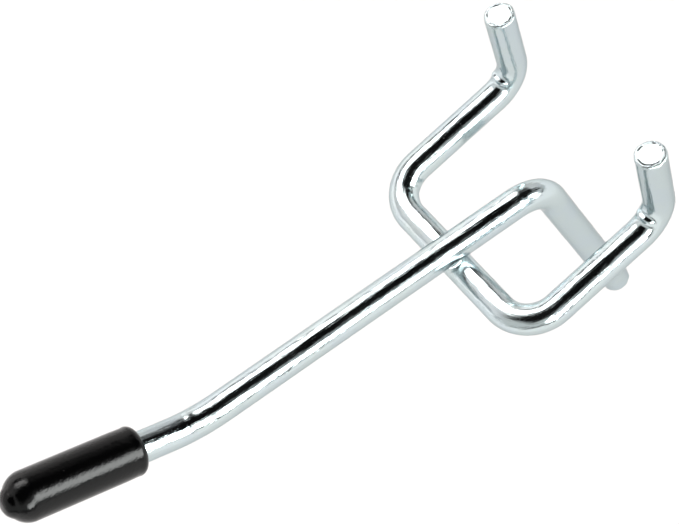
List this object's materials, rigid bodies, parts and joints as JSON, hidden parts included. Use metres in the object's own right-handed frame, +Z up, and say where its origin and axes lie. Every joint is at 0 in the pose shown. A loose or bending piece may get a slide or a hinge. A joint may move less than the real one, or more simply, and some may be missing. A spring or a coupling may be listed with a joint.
{
  "type": "pegboard hook",
  "caption": "Welded wire hook for perforated board: a U-shaped yoke with upturned prongs, a rising arm with a bent-up tip, a bracing foot and a push-on tip cap.",
  "frame": {"origin": "on the front face of the board, midway between the two prongs and level with the legs that pass through it", "axes": "+Y into the board, +Z up, +X to the right seen from behind the arm's tip, looking at the board"},
  "size_m": [0.0288, 0.0753, 0.0563],
  "materials": {
    "zinc_plated_wire": "bright zinc plate",
    "plated_weld": "bright zinc plate over a resistance weld",
    "black_vinyl": "glossy dip-moulded vinyl"
  },
  "bodies": {
    "hook": {"yoke_wire": "zinc_plated_wire", "arm_wire": "zinc_plated_wire", "cross_weld": "plated_weld"},
    "cap": {"tip_cap": "black_vinyl"}
  },
  "joints": [
    {"name": "cap_pull_off", "type": "slide", "parent": "hook", "child": "cap", "axis": [0, -0.8141, 0.5807], "range_m": [0, 0.013]}
  ]
}
